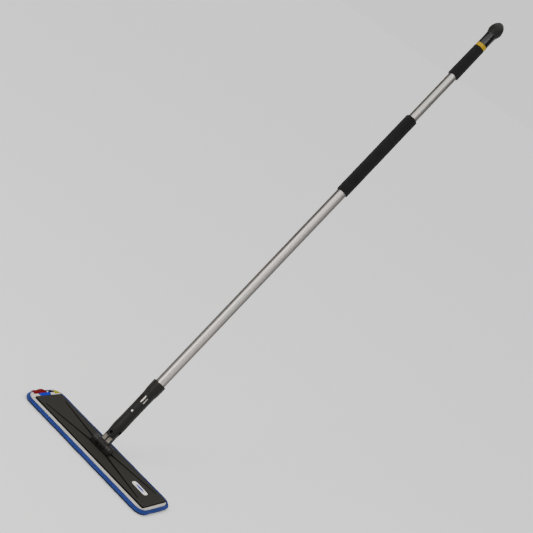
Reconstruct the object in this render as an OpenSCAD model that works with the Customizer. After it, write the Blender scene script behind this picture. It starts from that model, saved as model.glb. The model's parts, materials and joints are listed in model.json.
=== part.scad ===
// Flat floor mop with swivel head, telescopic handle and removable pad.
// Origin: on the pad's underside, below the middle of the head. X runs along the head, Z is up,
// and at rest the handle leans back towards +Y. Dimensions in millimetres.

/* [Head plate] */
// Length of the head plate along X
plate_length = 402; // [360:2:440]
// Depth of the head plate along Y
plate_depth = 100; // [92:1:104]
// Thickness of the plate at its edge
plate_edge = 3; // [2.6:0.1:3.6]
// Rise of the plate's top from its edge to the hub
plate_crown = 2; // [1.4:0.1:2.2]
// Corner radius of the plate
plate_corner = 4; // [2:0.5:8]
// Width of the creases where they leave the hub
crease_width = 6.4; // [4.4:0.2:6.8]

/* [Swivel] */
// Height of the fore and aft pivot above the floor
pivot_height = 30; // [30:0.5:33]
// Radius of the swivel block's barrel
barrel_r = 8.5; // [7.5:0.25:8.5]
// Length of the barrel between the lugs
barrel_length = 29; // [27:0.5:29]
// Length of each lug along X
lug_length = 15; // [12:0.5:17]
// Radius of both hinge pins
pin_r = 3; // [2.5:0.1:3.2]
// Distance of the fork pin from the fore and aft pivot
fork_pin_height = 35.6; // [35:0.2:37]
// Thickness of the block's blade inside the fork
blade_thick = 12; // [10:0.5:12]
// Width of the blade
blade_width = 27; // [25:0.5:27.5]

/* [Connector] */
// Lean of the handle back from upright at rest, degrees
pole_lean = 24; // [0:1:40]
// Height of the seam between fork and connector body
seam_height = 57; // [56:0.5:60]
// Height of the connector's flared mouth
mouth_height = 199; // [194:1:206]
// Radius of the connector at the seam
seam_r = 16.7; // [16.4:0.1:17.2]
// Radius of the connector's waist
waist_r = 16.1; // [15.8:0.1:16.4]
// Radius of the flared mouth
mouth_r = 18.4; // [17.8:0.1:19]
// Height of the snap button
button_height = 106; // [98:1:114]
// Radius of the snap button
button_r = 3.25; // [3:0.25:4.25]
// Length of the side windows in the connector
window_length = 18; // [12:1:20]
// Turn of the button and windows round the handle, away from the fork pin, degrees
front_turn = 8; // [0:1:20]

/* [Handle] */
// Outer diameter of the lower tube
lower_tube_d = 28; // [27.6:0.1:28]
// Outer diameter of the upper tube
upper_tube_d = 25; // [24.6:0.1:25.2]
// Wall thickness of both tubes
tube_wall = 1; // [0.8:0.1:1.1]
// Upper end of the lower tube
lower_tube_top = 1114; // [1100:1:1115]
// Lower end of the middle foam grip
mid_grip_from = 855; // [800:5:900]
// Upper end of the middle foam grip
mid_grip_to = 1121; // [1121:1:1140]
// Outer diameter of the middle foam grip
mid_grip_d = 34; // [33:0.5:38]
// Lower end of the upper tube inside the lower tube
upper_tube_from = 763; // [700:1:800]
// Lower end of the top foam grip
top_grip_from = 1277; // [1250:1:1300]
// Upper end of the top foam grip, where the colour ring starts
top_grip_to = 1379.6; // [1374:0.2:1390]
// Outer diameter of the top foam grip
top_grip_d = 31.8; // [31:0.2:34]
// Height of the colour ring
ring_height = 10.5; // [8:0.5:16]

/* [Knob] */
// Length of the glossy neck between ring and knob
neck_length = 38; // [28:1:42]
// Largest diameter of the knob
knob_d = 38; // [36.6:0.2:42]
// Height of the knob's sloped underside
knob_skirt = 13; // [12:0.5:15]
// Height of the knob's dome above its seam
dome_height = 29.5; // [22:0.5:30]

/* [Pad] */
// Thickness of the pad
pad_thick = 13; // [12.5:0.1:13]
// Width of the pale border at each end of the plate
border_end = 14; // [12:0.5:18]
// Width of the pale border in front of and behind the plate
border_side = 12.5; // [10:0.5:16]
// Width of the pile roll outside the border
roll_width = 6.5; // [5:0.5:9]
// How much wider the roll is along the back, where it comes in over the border
roll_extra = 7; // [0:0.5:9]
// Corner radius of the pad's outline
pad_corner = 30; // [26:1:36]
// How far the pad is pressed on off centre, away from the badge
pad_shift_x = 6.5; // [0:0.5:8]
// How far the pad is pressed on off centre, towards the back
pad_shift_y = 2.5; // [0:0.5:4]
// Thickness of the backing fabric
backing_thick = 1.2; // [0.8:0.1:1.6]

/* [Badge] */
// Length of the badge
badge_length = 48; // [36:1:58]
// Width of the badge
badge_width = 17; // [14:1:24]
// Distance of the badge from the middle of the plate
badge_offset = 146; // [120:1:150]

/* [Tabs] */
// Thickness of a colour tab
tab_thick = 1.4; // [1:0.1:2]
// Length of the red tab along the pad's end
red_length = 52; // [30:1:54]
// Length of the green and yellow tabs along the pad's end
short_length = 20; // [12:1:22]
// How far the red tab reaches out over the roll
tab_reach = 16; // [12:0.5:18]
// Length of the blue tab, which lies folded in beside the plate
blue_length = 42; // [24:1:44]

/* [Hidden] */
run_gap = 0.05;
seat_gap = 0.05;
eps = 0.01;
fine = 96;
medium = 64;
coarse = 32;

shell_black = [0.12, 0.12, 0.11];
gloss_black = [0.2, 0.2, 0.2];
foam_black = [0.1, 0.1, 0.1];
bare_alloy = [0.72, 0.7, 0.68];
bright_steel = [0.85, 0.85, 0.86];
spring_steel = [0.6, 0.6, 0.62];
bush_grey = [0.45, 0.45, 0.46];
signal_yellow = [0.75, 0.62, 0.06];
badge_white = [0.92, 0.92, 0.9];
badge_blue = [0.1, 0.25, 0.7];
backing_beige = [0.78, 0.76, 0.72];
pile_blue = [0.16, 0.33, 0.68];
core_white = [0.85, 0.85, 0.83];
tab_red_rgb = [0.5, 0.02, 0.02];
tab_blue_rgb = [0.1, 0.25, 0.85];
tab_green_rgb = [0.04, 0.14, 0.08];
tab_yellow_rgb = [0.75, 0.74, 0.12];

strip_thick = 1.2;
plate_z = pad_thick + strip_thick;
edge_z = plate_z + plate_edge;
crown_z = edge_z + plate_crown;
hub_half_x = 36;
hub_half_y = 12;
crown_slope = atan(plate_crown / (plate_length / 2 - hub_half_x));
crease_in_x = 33;
crease_in_y = 11;
crease_end_gap = 30;
crease_out_x = plate_length / 2 - crease_end_gap;
crease_out_y = plate_depth / 2 - 13;
crease_out_z = edge_z + plate_crown * crease_end_gap / (plate_length / 2 - hub_half_x);
lug_r = barrel_r + 0.7;
lug_gap = 0.4;
lug_outer = barrel_length / 2 + lug_gap + lug_length;
lug_foot_y = 10;
lug_foot_flare = 2;
barrel_cut_r = barrel_r + 0.6;
cap_recess = 1.5;
cap_r = pin_r + 1.6;

blade_r = blade_width / 2;
slot_half = blade_thick / 2 + 0.3;
slot_top = fork_pin_height + blade_r + 1;
fork_bottom = fork_pin_height - 10.7;
fork_corner = 5;
fork_end_r = 14.7;
pin_reach = 13.4;
pin_head_h = 1;
spigot_r = 13.5;
spigot_length = 11;
fork_screw_height = seam_height + 6;
fork_screw_r = 1.6;
screw_seat = spigot_r + 1.2;
screw_head_h = 1.6;

tube_seat = seam_height + spigot_length + 2;
lower_r = lower_tube_d / 2;
lower_bore = lower_r - tube_wall;
upper_r = upper_tube_d / 2;
upper_bore = upper_r - tube_wall;
mouth_step = 5;
window_height = 134.6;
window_half = 2;
window_turn = 33;
button_face = waist_r + 1.5;
button_dome = 2.4;
boss_r = button_r + 2.3;
dot_r = 1.6;
boss_face = waist_r + 0.7;
flange_r = button_r + 1.2;
flange_face = 11.6;
flange_back = 10.6;
spring_width = 7;
spring_gauge = 0.8;
spring_front = flange_back - seat_gap;
spring_rear = 12.2;
spring_mid = (spring_rear - spring_front) / 2;
spring_bend = (spring_rear + spring_front) / 2;
spring_low = tube_seat + spring_bend + 1.5;

bush_low = lower_tube_top - 14;
bush_high = lower_tube_top + 6;
bush_r = lower_r + 1.2;
foam_round = 5;
foam_low_round = 2;
cone_low = upper_tube_from - 27;
cone_r = 8;
stud_r = 4;
sleeve_low = upper_tube_from - 24;
sleeve_high = upper_tube_from - 2;
plug_high = upper_tube_from + 26;

ring_from = top_grip_to + 0.05;
ring_to = ring_from + ring_height;
upper_tube_top = ring_to;
neck_from = ring_to + 0.05;
neck_to = neck_from + neck_length;
skirt_from = neck_to + 0.2;
skirt_to = skirt_from + knob_skirt;
boss_to = skirt_to + 2.9;
journal_r = 6;
journal_to = boss_to + 0.1;
washer_from = journal_to + 0.03;
washer_to = washer_from + 1.3;
head_from = washer_to + 0.03;
head_to = head_from + 3;
cap_cavity_r = 14;
cap_cavity_to = head_to + 1.5;
dome_power = 0.56;
knob_r = knob_d / 2;

back_x = plate_length / 2 + border_end;
back_y = plate_depth / 2 + border_side - roll_extra / 2;
back_r = pad_corner - roll_width;
pad_x = back_x + roll_width;
pad_y = back_y + roll_extra / 2 + roll_width;
roll_r = pad_thick / 2 - 0.5;
back_z = pad_thick - backing_thick;
pile_floor = 4;
seam_in = 3;
seam_width = 1;
seam_rise = 0.5;
strip_length = plate_length - 40;
strip_width = 22;
strip_offset = 24;
tab_inset = 8.5;
tab_root = back_x - tab_inset;
red_y = -16.5;
yellow_y = 44.4;
green_y = yellow_y - short_length - 0.1;
blue_y = -6.5;
blue_reach = border_end - tab_inset + pad_shift_x - 2;
tab_z = pad_thick + seam_rise + 0.2;

// Moves a piece drawn along Z to the leaning handle's line
module on_pole() {
    translate([0, 0, pivot_height])
        rotate([-pole_lean, 0, 0])
            children();
}

// Moves a piece drawn round the pad's middle to where the pad is pressed on
module on_pad() {
    translate([-pad_shift_x, pad_shift_y, 0])
        children();
}

// Moves a piece drawn round the backing's middle, which lies in front of the pad's
module on_backing() {
    on_pad()
        translate([0, -roll_extra / 2, 0])
            children();
}

// A cylinder across the handle, front to back
module across(r, length, segments) {
    rotate([90, 0, 0])
        cylinder(r = r, h = length, center = true, $fn = segments);
}

// Plan view of a rectangle with rounded corners
module rounded_plan(half_x, half_y, corner, segments) {
    offset(r = corner, $fn = segments)
        square([2 * (half_x - corner), 2 * (half_y - corner)], center = true);
}

module fork_end() {
    color(shell_black)
        on_pole()
            difference() {
                union() {
                    intersection() {
                        rotate_extrude($fn = fine)
                            polygon([
                                [0, fork_bottom - 1],
                                [fork_end_r - 0.3, fork_bottom - 1],
                                [fork_end_r, fork_pin_height - 3],
                                [seam_r - 0.8, seam_height - 12],
                                [seam_r, seam_height - 1.2],
                                [seam_r - 0.5, seam_height],
                                [0, seam_height]
                            ]);
                        fork_outline();
                    }
                    translate([0, 0, seam_height - eps])
                        cylinder(r = spigot_r, h = spigot_length, $fn = fine);
                }
                translate([-seam_r - 1, -slot_half, fork_bottom - 2])
                    cube([2 * seam_r + 2, 2 * slot_half, slot_top - fork_bottom + 2]);
                translate([0, 0, fork_pin_height])
                    across(pin_r + run_gap, 4 * seam_r, medium);
                translate([0, -pin_reach - seam_r / 2, fork_pin_height])
                    across(pin_r + 1.5, seam_r, medium);
                translate([0, pin_reach + seam_r / 2, fork_pin_height])
                    across(pin_r + 1.9, seam_r, medium);
                translate([0, spigot_r - 2, fork_screw_height])
                    across(fork_screw_r + run_gap, 12, coarse);
            }
}

// Side view limits of the fork: a block with two rounded lower corners
module fork_outline() {
    hull() {
        for (side = [-1, 1])
            translate([side * (blade_r - fork_corner), 0, fork_bottom + fork_corner])
                across(fork_corner, 2 * seam_r + 2, coarse);
        translate([-seam_r - 1, -seam_r - 1, fork_pin_height + 2])
            cube([2 * seam_r + 2, 2 * seam_r + 2, seam_height - fork_pin_height]);
    }
}

module connector_body() {
    color(shell_black)
        on_pole()
            difference() {
                union() {
                    connector_turned();
                    turned_front()
                        button_boss();
                }
                cylinder(r = spigot_r + seat_gap, h = tube_seat - 2, $fn = fine);
                translate([0, 0, tube_seat])
                    cylinder(r = lower_r + seat_gap, h = mouth_height, $fn = fine);
                turned_front() {
                    translate([0, -seam_r, button_height])
                        across(button_r + run_gap, seam_r, medium);
                    for (turn = [-window_turn, 0, window_turn])
                        rotate([0, 0, turn])
                            window_cut(turn == 0 ? window_length + 2 : window_length);
                }
                translate([0, seam_r, fork_screw_height])
                    across(fork_screw_r + run_gap, seam_r, coarse);
                translate([0, screw_seat + 3, fork_screw_height])
                    across(2 * fork_screw_r + 2 * run_gap, 6, coarse);
            }
}

// Turns the connector's front features round the handle
module turned_front() {
    rotate([0, 0, front_turn])
        children();
}

// Raised ring round the button, and the sighting dot above the windows
module button_boss() {
    translate([0, -boss_face + 2.5, button_height])
        across(boss_r, 5, medium);
    translate([0, dot_r - mouth_r - 0.2, mouth_height - 30])
        sphere(r = dot_r, $fn = coarse);
}

// Turned outside of the connector with a stepped mouth
module connector_turned() {
    rotate_extrude($fn = fine)
        polygon([
            [spigot_r - 1, seam_height + 0.05],
            [seam_r - 0.5, seam_height + 0.05],
            [seam_r, seam_height + 1.2],
            [seam_r - 0.1, seam_height + 5],
            [waist_r + 0.1, seam_height + 18],
            [waist_r, seam_height + 30],
            [waist_r, window_height + window_length / 2],
            [waist_r + 0.3, mouth_height - 43],
            [mouth_r - 1.5, mouth_height - 36],
            [mouth_r - 0.5, mouth_height - 28],
            [mouth_r - 0.2, mouth_height - 16],
            [mouth_r, mouth_height - 5],
            [mouth_r - 0.1, mouth_height - 1],
            [mouth_r - 0.8, mouth_height],
            [lower_r + 1.2, mouth_height],
            [lower_r + 1, mouth_height - mouth_step],
            [spigot_r - 1, mouth_height - mouth_step]
        ]);
}

// One rounded window through the front of the connector
module window_cut(length) {
    hull()
        for (step = [window_half, length - window_half])
            translate([0, -waist_r, window_height + step])
                across(window_half, 6, coarse);
}

module fork_screw() {
    color(bright_steel)
        on_pole()
            translate([0, 0, fork_screw_height])
                rotate([-90, 0, 0])
                    difference() {
                        union() {
                            translate([0, 0, spigot_r - 7])
                                cylinder(r = fork_screw_r, h = screw_seat - spigot_r + 7.1,
                                    $fn = coarse);
                            translate([0, 0, screw_seat + seat_gap])
                                cylinder(r = 2 * fork_screw_r, h = screw_head_h, $fn = coarse);
                        }
                        for (turn = [0, 90])
                            translate([0, 0, screw_seat + screw_head_h])
                                rotate([0, 0, turn])
                                    cube([4, 0.7, screw_head_h], center = true);
                    }
}

module fork_pin() {
    color(bright_steel)
        on_pole()
            translate([0, 0, fork_pin_height])
                rotate([90, 0, 0])
                    difference() {
                        union() {
                            translate([0, 0, -pin_reach - 1])
                                cylinder(r = pin_r, h = 2 * pin_reach + 1.1, $fn = medium);
                            translate([0, 0, pin_reach + seat_gap])
                                cylinder(r = pin_r + 1.2, h = pin_head_h, $fn = medium);
                        }
                        translate([0, 0, -pin_reach - 0.75])
                            clip_groove();
                    }
}

// Ring cut near the end of the fork pin for its clip
module clip_groove() {
    difference() {
        cylinder(r = pin_r + 1, h = 0.5, $fn = medium);
        translate([0, 0, -1])
            cylinder(r = pin_r - 0.7, h = 3, $fn = medium);
    }
}

module pin_clip() {
    color(spring_steel)
        on_pole()
            translate([0, 0, fork_pin_height])
                rotate([90, 0, 0])
                    translate([0, 0, -pin_reach - 0.7])
                        difference() {
                            cylinder(r = pin_r + 1.5, h = 0.4, $fn = medium);
                            translate([0, 0, -1])
                                cylinder(r = pin_r - 0.6, h = 3, $fn = medium);
                            translate([-1, 0, -1])
                                cube([2, 3 * pin_r, 3]);
                        }
}

module lower_tube() {
    color(bare_alloy)
        on_pole()
            difference() {
                translate([0, 0, tube_seat + seat_gap])
                    cylinder(r = lower_r, h = lower_tube_top - tube_seat - seat_gap, $fn = fine);
                translate([0, 0, tube_seat - 1])
                    cylinder(r = lower_bore, h = lower_tube_top, $fn = fine);
                turned_front()
                    translate([0, -lower_r, button_height])
                        across(button_r + run_gap, lower_r, medium);
            }
}

// Half section of a foam sleeve with rounded ends
module foam_section(low, high, r_low, r_high, bore, round_top) {
    top_round = round_top ? foam_round : 1;
    polygon(concat(
        [[bore, low + 0.6], [bore + 0.6, low]],
        [for (a = [-75:15:0])
            [r_low - foam_low_round * 0.6 * (1 - cos(a)), low + foam_low_round * (1 + sin(a))]],
        [for (a = [0:15:75])
            [r_high - top_round * 0.6 * (1 - cos(a)), high - top_round * (1 - sin(a))]],
        [[bore + 0.6, high], [bore, high - 0.6]]
    ));
}

module mid_grip() {
    color(foam_black)
        on_pole()
            difference() {
                rotate_extrude($fn = medium)
                    foam_section(mid_grip_from, mid_grip_to, mid_grip_d / 2, mid_grip_d / 2,
                        lower_r + seat_gap, true);
                translate([0, 0, bush_low - 0.1])
                    cylinder(r = bush_r + seat_gap, h = 60, $fn = medium);
            }
}

module guide_bush() {
    color(bush_grey)
        on_pole()
            difference() {
                translate([0, 0, bush_low])
                    cylinder(r = bush_r, h = bush_high - bush_low, $fn = medium);
                translate([0, 0, bush_low - 1])
                    cylinder(r = lower_r + seat_gap, h = lower_tube_top - bush_low + 1.05, $fn = medium);
                translate([0, 0, bush_low])
                    cylinder(r = upper_r + run_gap, h = 60, $fn = medium);
            }
}

module button_spring() {
    color(spring_steel)
        on_pole()
            turned_front()
                spring_strip();
}

// Flat spring bent into a U, open upwards
module spring_strip() {
    translate([-spring_width / 2, -spring_front, spring_low - eps])
        cube([spring_width, spring_gauge, button_height + 7 - spring_low]);
    translate([-spring_width / 2, spring_rear - spring_gauge, spring_low - eps])
        cube([spring_width, spring_gauge, button_height - spring_low]);
    translate([0, spring_mid, spring_low])
        difference() {
            rotate([0, 90, 0])
                cylinder(r = spring_bend, h = spring_width, center = true, $fn = medium);
            rotate([0, 90, 0])
                cylinder(r = spring_bend - spring_gauge, h = 2 * spring_width,
                    center = true, $fn = medium);
            translate([-spring_width, -2 * spring_bend, 0])
                cube([2 * spring_width, 4 * spring_bend, 2 * spring_bend]);
        }
}

module snap_button() {
    color(bright_steel)
        on_pole()
            translate([0, 0, button_height])
                rotate([90, 0, front_turn])
                    rotate_extrude($fn = medium)
                        polygon(concat(
                            [[0, flange_back], [flange_r, flange_back], [flange_r, flange_face],
                                [button_r, flange_face]],
                            [for (a = [0:15:90])
                                [button_r * cos(a), button_face - button_dome * (1 - sin(a))]]
                        ));
}

module lock_sleeve() {
    color(bush_grey)
        on_pole()
            difference() {
                rotate_extrude($fn = medium)
                    polygon([
                        [cone_r - 1 + run_gap, sleeve_low],
                        [lower_bore - run_gap - 0.6, sleeve_low],
                        [lower_bore - run_gap, sleeve_low + 1],
                        [lower_bore - run_gap, sleeve_high - 1],
                        [lower_bore - run_gap - 0.6, sleeve_high],
                        [stud_r + run_gap, sleeve_high],
                        [stud_r + run_gap, sleeve_low + 6]
                    ]);
                translate([0, -1, sleeve_low - 1])
                    cube([lower_r, 2, sleeve_high - sleeve_low + 2]);
            }
}

module lock_cone() {
    color(bush_grey)
        on_pole()
            rotate_extrude($fn = medium)
                polygon([
                    [0, cone_low],
                    [cone_r - 0.6, cone_low],
                    [cone_r, cone_low + 1],
                    [cone_r, sleeve_low - 1],
                    [cone_r - 1 - run_gap, sleeve_low],
                    [stud_r - eps, sleeve_low + 5.8],
                    [stud_r - eps, sleeve_high + 0.5],
                    [upper_r - 0.3, sleeve_high + 0.5],
                    [upper_r - 0.3, upper_tube_from - 0.05],
                    [upper_bore - seat_gap, upper_tube_from - 0.05],
                    [upper_bore - seat_gap, plug_high - 1],
                    [upper_bore - 1, plug_high],
                    [0, plug_high]
                ]);
}

module upper_tube() {
    color(bare_alloy)
        on_pole()
            difference() {
                translate([0, 0, upper_tube_from])
                    cylinder(r = upper_r, h = upper_tube_top - upper_tube_from, $fn = fine);
                translate([0, 0, upper_tube_from - 1])
                    cylinder(r = upper_bore, h = upper_tube_top, $fn = fine);
            }
}

module top_grip() {
    color(foam_black)
        on_pole()
            rotate_extrude($fn = medium)
                foam_section(top_grip_from, top_grip_to, top_grip_d / 2, top_grip_d / 2 - 0.6,
                    upper_r + seat_gap, false);
}

module colour_ring() {
    color(signal_yellow)
        on_pole()
            rotate_extrude($fn = medium)
                polygon([
                    [upper_r + seat_gap, ring_from],
                    [upper_r + 2.1, ring_from],
                    [upper_r + 2.5, ring_from + 0.6],
                    [upper_r + 2.5, ring_from + 3],
                    [upper_r + 2.2, ring_from + 3.4],
                    [upper_r + 2.2, ring_to - 3.4],
                    [upper_r + 2.5, ring_to - 3],
                    [upper_r + 2.5, ring_to - 0.6],
                    [upper_r + 2.1, ring_to],
                    [upper_r + seat_gap, ring_to]
                ]);
}

module knob_stem() {
    color(gloss_black)
        on_pole()
            difference() {
                rotate_extrude($fn = medium)
                    polygon([
                        [0, neck_from - 28],
                        [upper_bore - 1, neck_from - 28],
                        [upper_bore - seat_gap, neck_from - 27],
                        [upper_bore - seat_gap, neck_from],
                        [upper_r + 1.6, neck_from],
                        [upper_r + 2.1, neck_from + 0.8],
                        [upper_r + 2, neck_from + 10],
                        [upper_r + 1.9, neck_to - 16],
                        [upper_r + 2.2, neck_to - 7],
                        [upper_r + 2.7, neck_to - 1],
                        [upper_r + 2.3, neck_to],
                        [journal_r, neck_to],
                        [journal_r, journal_to],
                        [0, journal_to]
                    ]);
                translate([0, 0, neck_to - 6])
                    cylinder(r = 2.4 + seat_gap, h = 40, $fn = coarse);
            }
}

module knob_screw() {
    color(bright_steel)
        on_pole()
            difference() {
                union() {
                    translate([0, 0, neck_to - 4])
                        cylinder(r = 2.4, h = head_from - neck_to + 4 + eps, $fn = coarse);
                    translate([0, 0, head_from])
                        cylinder(r1 = 4.6, r2 = 3.4, h = head_to - head_from, $fn = coarse);
                }
                for (turn = [0, 90])
                    translate([0, 0, head_to])
                        rotate([0, 0, turn])
                            cube([5, 1, 2.4], center = true);
            }
}

module knob_washer() {
    color(spring_steel)
        on_pole()
            difference() {
                translate([0, 0, washer_from])
                    cylinder(r = 9, h = washer_to - washer_from, $fn = medium);
                translate([0, 0, washer_from - 1])
                    cylinder(r = 2.4 + seat_gap, h = 4, $fn = coarse);
            }
}

module knob_body() {
    color(shell_black)
        on_pole()
            difference() {
                rotate_extrude($fn = medium)
                    polygon([
                        [0, skirt_from],
                        [upper_r + 1.6, skirt_from],
                        [upper_r + 2.6, skirt_from + 0.6],
                        [knob_r - 1.6, skirt_to - 6],
                        [knob_r - 0.3, skirt_to - 2],
                        [knob_r, skirt_to - 0.6],
                        [knob_r - 0.3, skirt_to],
                        [cap_cavity_r - seat_gap, skirt_to],
                        [cap_cavity_r - seat_gap, boss_to],
                        [0, boss_to]
                    ]);
                translate([0, 0, neck_to])
                    cylinder(r = journal_r + run_gap, h = 40, $fn = medium);
            }
}

module knob_cap() {
    color(shell_black)
        on_pole()
            difference() {
                rotate_extrude($fn = medium)
                    polygon(concat(
                        [[0, skirt_to + 0.05], [knob_r - 0.3, skirt_to + 0.05]],
                        [for (a = [0:9:90])
                            [knob_r * pow(cos(a), 2 * dome_power),
                                skirt_to + 0.6 + (dome_height - 0.6) * sin(a)]]
                    ));
                translate([0, 0, skirt_to - 1])
                    cylinder(r = cap_cavity_r, h = cap_cavity_to - skirt_to + 1, $fn = medium);
            }
}

module swivel_block() {
    color(shell_black)
        on_pole()
            difference() {
                union() {
                    rotate([0, 90, 0])
                        cylinder(r = barrel_r, h = barrel_length, center = true, $fn = medium);
                    translate([0, 0, fork_pin_height])
                        across(blade_r, blade_thick, fine);
                    translate([-blade_r, -blade_thick / 2, 0])
                        cube([blade_width, blade_thick, fork_pin_height]);
                }
                rotate([0, 90, 0])
                    cylinder(r = pin_r + run_gap, h = 2 * barrel_length, center = true,
                        $fn = medium);
                translate([0, 0, fork_pin_height])
                    across(pin_r + run_gap, 2 * blade_width, medium);
                for (side = [-1, 1])
                    translate([side * (blade_r / 2 + 0.4), -blade_thick / 2, fork_pin_height / 2])
                        cube([blade_r - 3.2, 1.2, fork_pin_height / 2 - 3], center = true);
            }
}

module hinge_pin() {
    color(bright_steel)
        translate([0, 0, pivot_height])
            rotate([0, 90, 0]) {
                cylinder(r = pin_r, h = 2 * lug_outer - 2, center = true, $fn = medium);
                for (side = [-1, 1])
                    translate([0, 0, side * (lug_outer - 0.6)])
                        cylinder(r = cap_r - 0.3, h = 1, center = true, $fn = medium);
            }
}

// Plate with four faces that rise gently to the hub
module crowned_slab() {
    hull() {
        translate([0, 0, plate_z])
            linear_extrude(plate_edge - 0.4)
                rounded_plan(plate_length / 2, plate_depth / 2, plate_corner, coarse);
        translate([0, 0, plate_z])
            linear_extrude(plate_edge)
                rounded_plan(plate_length / 2 - 0.5, plate_depth / 2 - 0.5, plate_corner, coarse);
        translate([0, 0, plate_z])
            linear_extrude(crown_z - plate_z)
                square([2 * hub_half_x, 2 * hub_half_y], center = true);
    }
}

// Hub and both lugs before the barrel's gap is cut
module lug_rail() {
    hull() {
        translate([0, 0, pivot_height])
            rotate([0, 90, 0])
                cylinder(r = lug_r, h = 2 * lug_outer, center = true, $fn = medium);
        translate([-lug_outer - lug_foot_flare, -lug_foot_y, crown_z - 1])
            cube([2 * lug_outer + 2 * lug_foot_flare, 2 * lug_foot_y, 1.2]);
    }
}

// One tapering crease from the hub towards a corner
module crease(side_x, side_y) {
    hull() {
        translate([side_x * crease_in_x, side_y * crease_in_y, crown_z])
            sphere(r = crease_width / 2, $fn = 16);
        translate([side_x * crease_out_x, side_y * crease_out_y, crease_out_z])
            sphere(r = crease_width / 5, $fn = 16);
    }
}

// Groove across the front or back of the hub, from crease to crease
module cross_crease(side_y) {
    hull()
        for (side_x = [-1, 1])
            translate([side_x * crease_in_x, side_y * (crease_in_y + 0.5), crown_z])
                sphere(r = crease_width / 3, $fn = 16);
}

module base_plate() {
    color(shell_black)
        difference() {
            union() {
                crowned_slab();
                lug_rail();
            }
            translate([0, 0, pivot_height])
                rotate([0, 90, 0])
                    cylinder(r = barrel_cut_r, h = barrel_length + 2 * lug_gap, center = true,
                        $fn = medium);
            translate([-barrel_length / 2 - lug_gap, -lug_foot_y - 5, pivot_height - 7])
                cube([barrel_length + 2 * lug_gap, 2 * lug_foot_y + 10, 4 * lug_r]);
            translate([0, 0, pivot_height])
                rotate([0, 90, 0])
                    cylinder(r = pin_r + run_gap, h = 4 * lug_outer, center = true, $fn = medium);
            for (side = [-1, 1])
                translate([side * (lug_outer + 10 - cap_recess), 0, pivot_height])
                    rotate([0, 90, 0])
                        cylinder(r = cap_r, h = 20, center = true, $fn = medium);
            for (side_y = [-1, 1]) {
                cross_crease(side_y);
                for (side_x = [-1, 1])
                    crease(side_x, side_y);
            }
            badge_pocket();
        }
}

// Rounded outline of the badge on the plate's right hand slope
module badge_slab(inset, low, thick) {
    run = plate_length / 2 - badge_offset;
    translate([badge_offset, 0, edge_z + run * tan(crown_slope) + low])
        rotate([0, crown_slope, 0])
            linear_extrude(thick)
                rounded_plan(badge_length / 2 - inset, badge_width / 2 - inset,
                    badge_width * 0.4 - inset, coarse);
}

module badge_pocket() {
    badge_slab(0, -0.6, 4);
}

module badge() {
    color(badge_white)
        badge_slab(0.15, -0.55, 1.1);
}

module badge_mark() {
    run = plate_length / 2 - badge_offset;
    color(badge_blue)
        translate([badge_offset, 0, edge_z + run * tan(crown_slope) + 0.57])
            rotate([0, crown_slope, 0])
                scale([badge_length / 3.5, badge_width / 4.6, 1])
                    cylinder(r = 1, h = 0.25, $fn = coarse);
}

// A hook strip under the plate
module hook_strip(offset_y) {
    translate([-strip_length / 2, offset_y - strip_width / 2, pad_thick + 0.03])
        cube([strip_length, strip_width, strip_thick - 0.06]);
}

module hook_strip_front() {
    color(foam_black)
        hook_strip(-strip_offset);
}

module hook_strip_back() {
    color(foam_black)
        hook_strip(strip_offset);
}

// Rounded slab with a full round edge, from four turned corners
module soft_slab(half_x, half_y, corner, low, high, edge_round) {
    hull()
        for (side_x = [-1, 1])
            for (side_y = [-1, 1])
                translate([side_x * (half_x - corner), side_y * (half_y - corner), low])
                    rotate_extrude($fn = medium)
                        soft_section(corner, high - low, edge_round);
}

// Half section of a cushion corner
module soft_section(r, thick, edge_round) {
    side = min(edge_round, thick / 2 - 0.1);
    polygon(concat(
        [[0, 0]],
        [for (a = [-90:18:0]) [r - side + side * cos(a), side + side * sin(a)]],
        [for (a = [0:18:90]) [r - side + side * cos(a), thick - side + side * sin(a)]],
        [[0, thick]]
    ));
}

module pad_backing() {
    color(backing_beige)
        on_backing()
            translate([0, 0, back_z + 0.03])
                linear_extrude(backing_thick - 0.03)
                    rounded_plan(back_x, back_y, back_r, medium);
}

module pad_core() {
    color(core_white)
        on_backing()
            soft_slab(back_x - 1, back_y - 1, back_r, pile_floor + 0.05, back_z - 0.05, 2);
}

module pad_pile() {
    color(pile_blue)
        difference() {
            on_pad()
                soft_slab(pad_x, pad_y, pad_corner, 0, pad_thick, roll_r);
            on_backing() {
                soft_slab(back_x - 0.9, back_y - 0.9, back_r, pile_floor, back_z, 2);
                translate([0, 0, back_z - 0.5])
                    linear_extrude(pad_thick)
                        rounded_plan(back_x - 3, back_y - 3, back_r - 3, medium);
                translate([0, 0, back_z])
                    linear_extrude(pad_thick)
                        rounded_plan(back_x + 0.1, back_y + 0.1, back_r, medium);
            }
        }
}

module pad_seam() {
    color(badge_white)
        on_backing()
            translate([0, 0, pad_thick + 0.02])
                linear_extrude(seam_rise)
                    difference() {
                        rounded_plan(back_x - seam_in, back_y - seam_in, back_r - seam_in, medium);
                        rounded_plan(back_x - seam_in - seam_width, back_y - seam_in - seam_width,
                            back_r - seam_in - seam_width, medium);
                    }
}

// A bowed fabric tab from its root: outwards along -X, or inwards with a negative reach
module bowed_tab(middle_y, length, root, reach, bow, lift) {
    on_pad()
        translate([0, middle_y + length / 2, 0])
            rotate([90, 0, 0])
                linear_extrude(length)
                    polygon(concat(
                        [for (t = [0:0.1:1.001])
                            [-root - reach * t, tab_z + bow * sin(180 * t) + lift * t]],
                        [for (t = [1:-0.1:-0.001])
                            [-root - reach * t,
                                tab_z + tab_thick + bow * sin(180 * t) + lift * t]]
                    ));
}

module tab_red() {
    color(tab_red_rgb)
        bowed_tab(red_y, red_length, tab_root, tab_reach, 3, 1);
}

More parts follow.
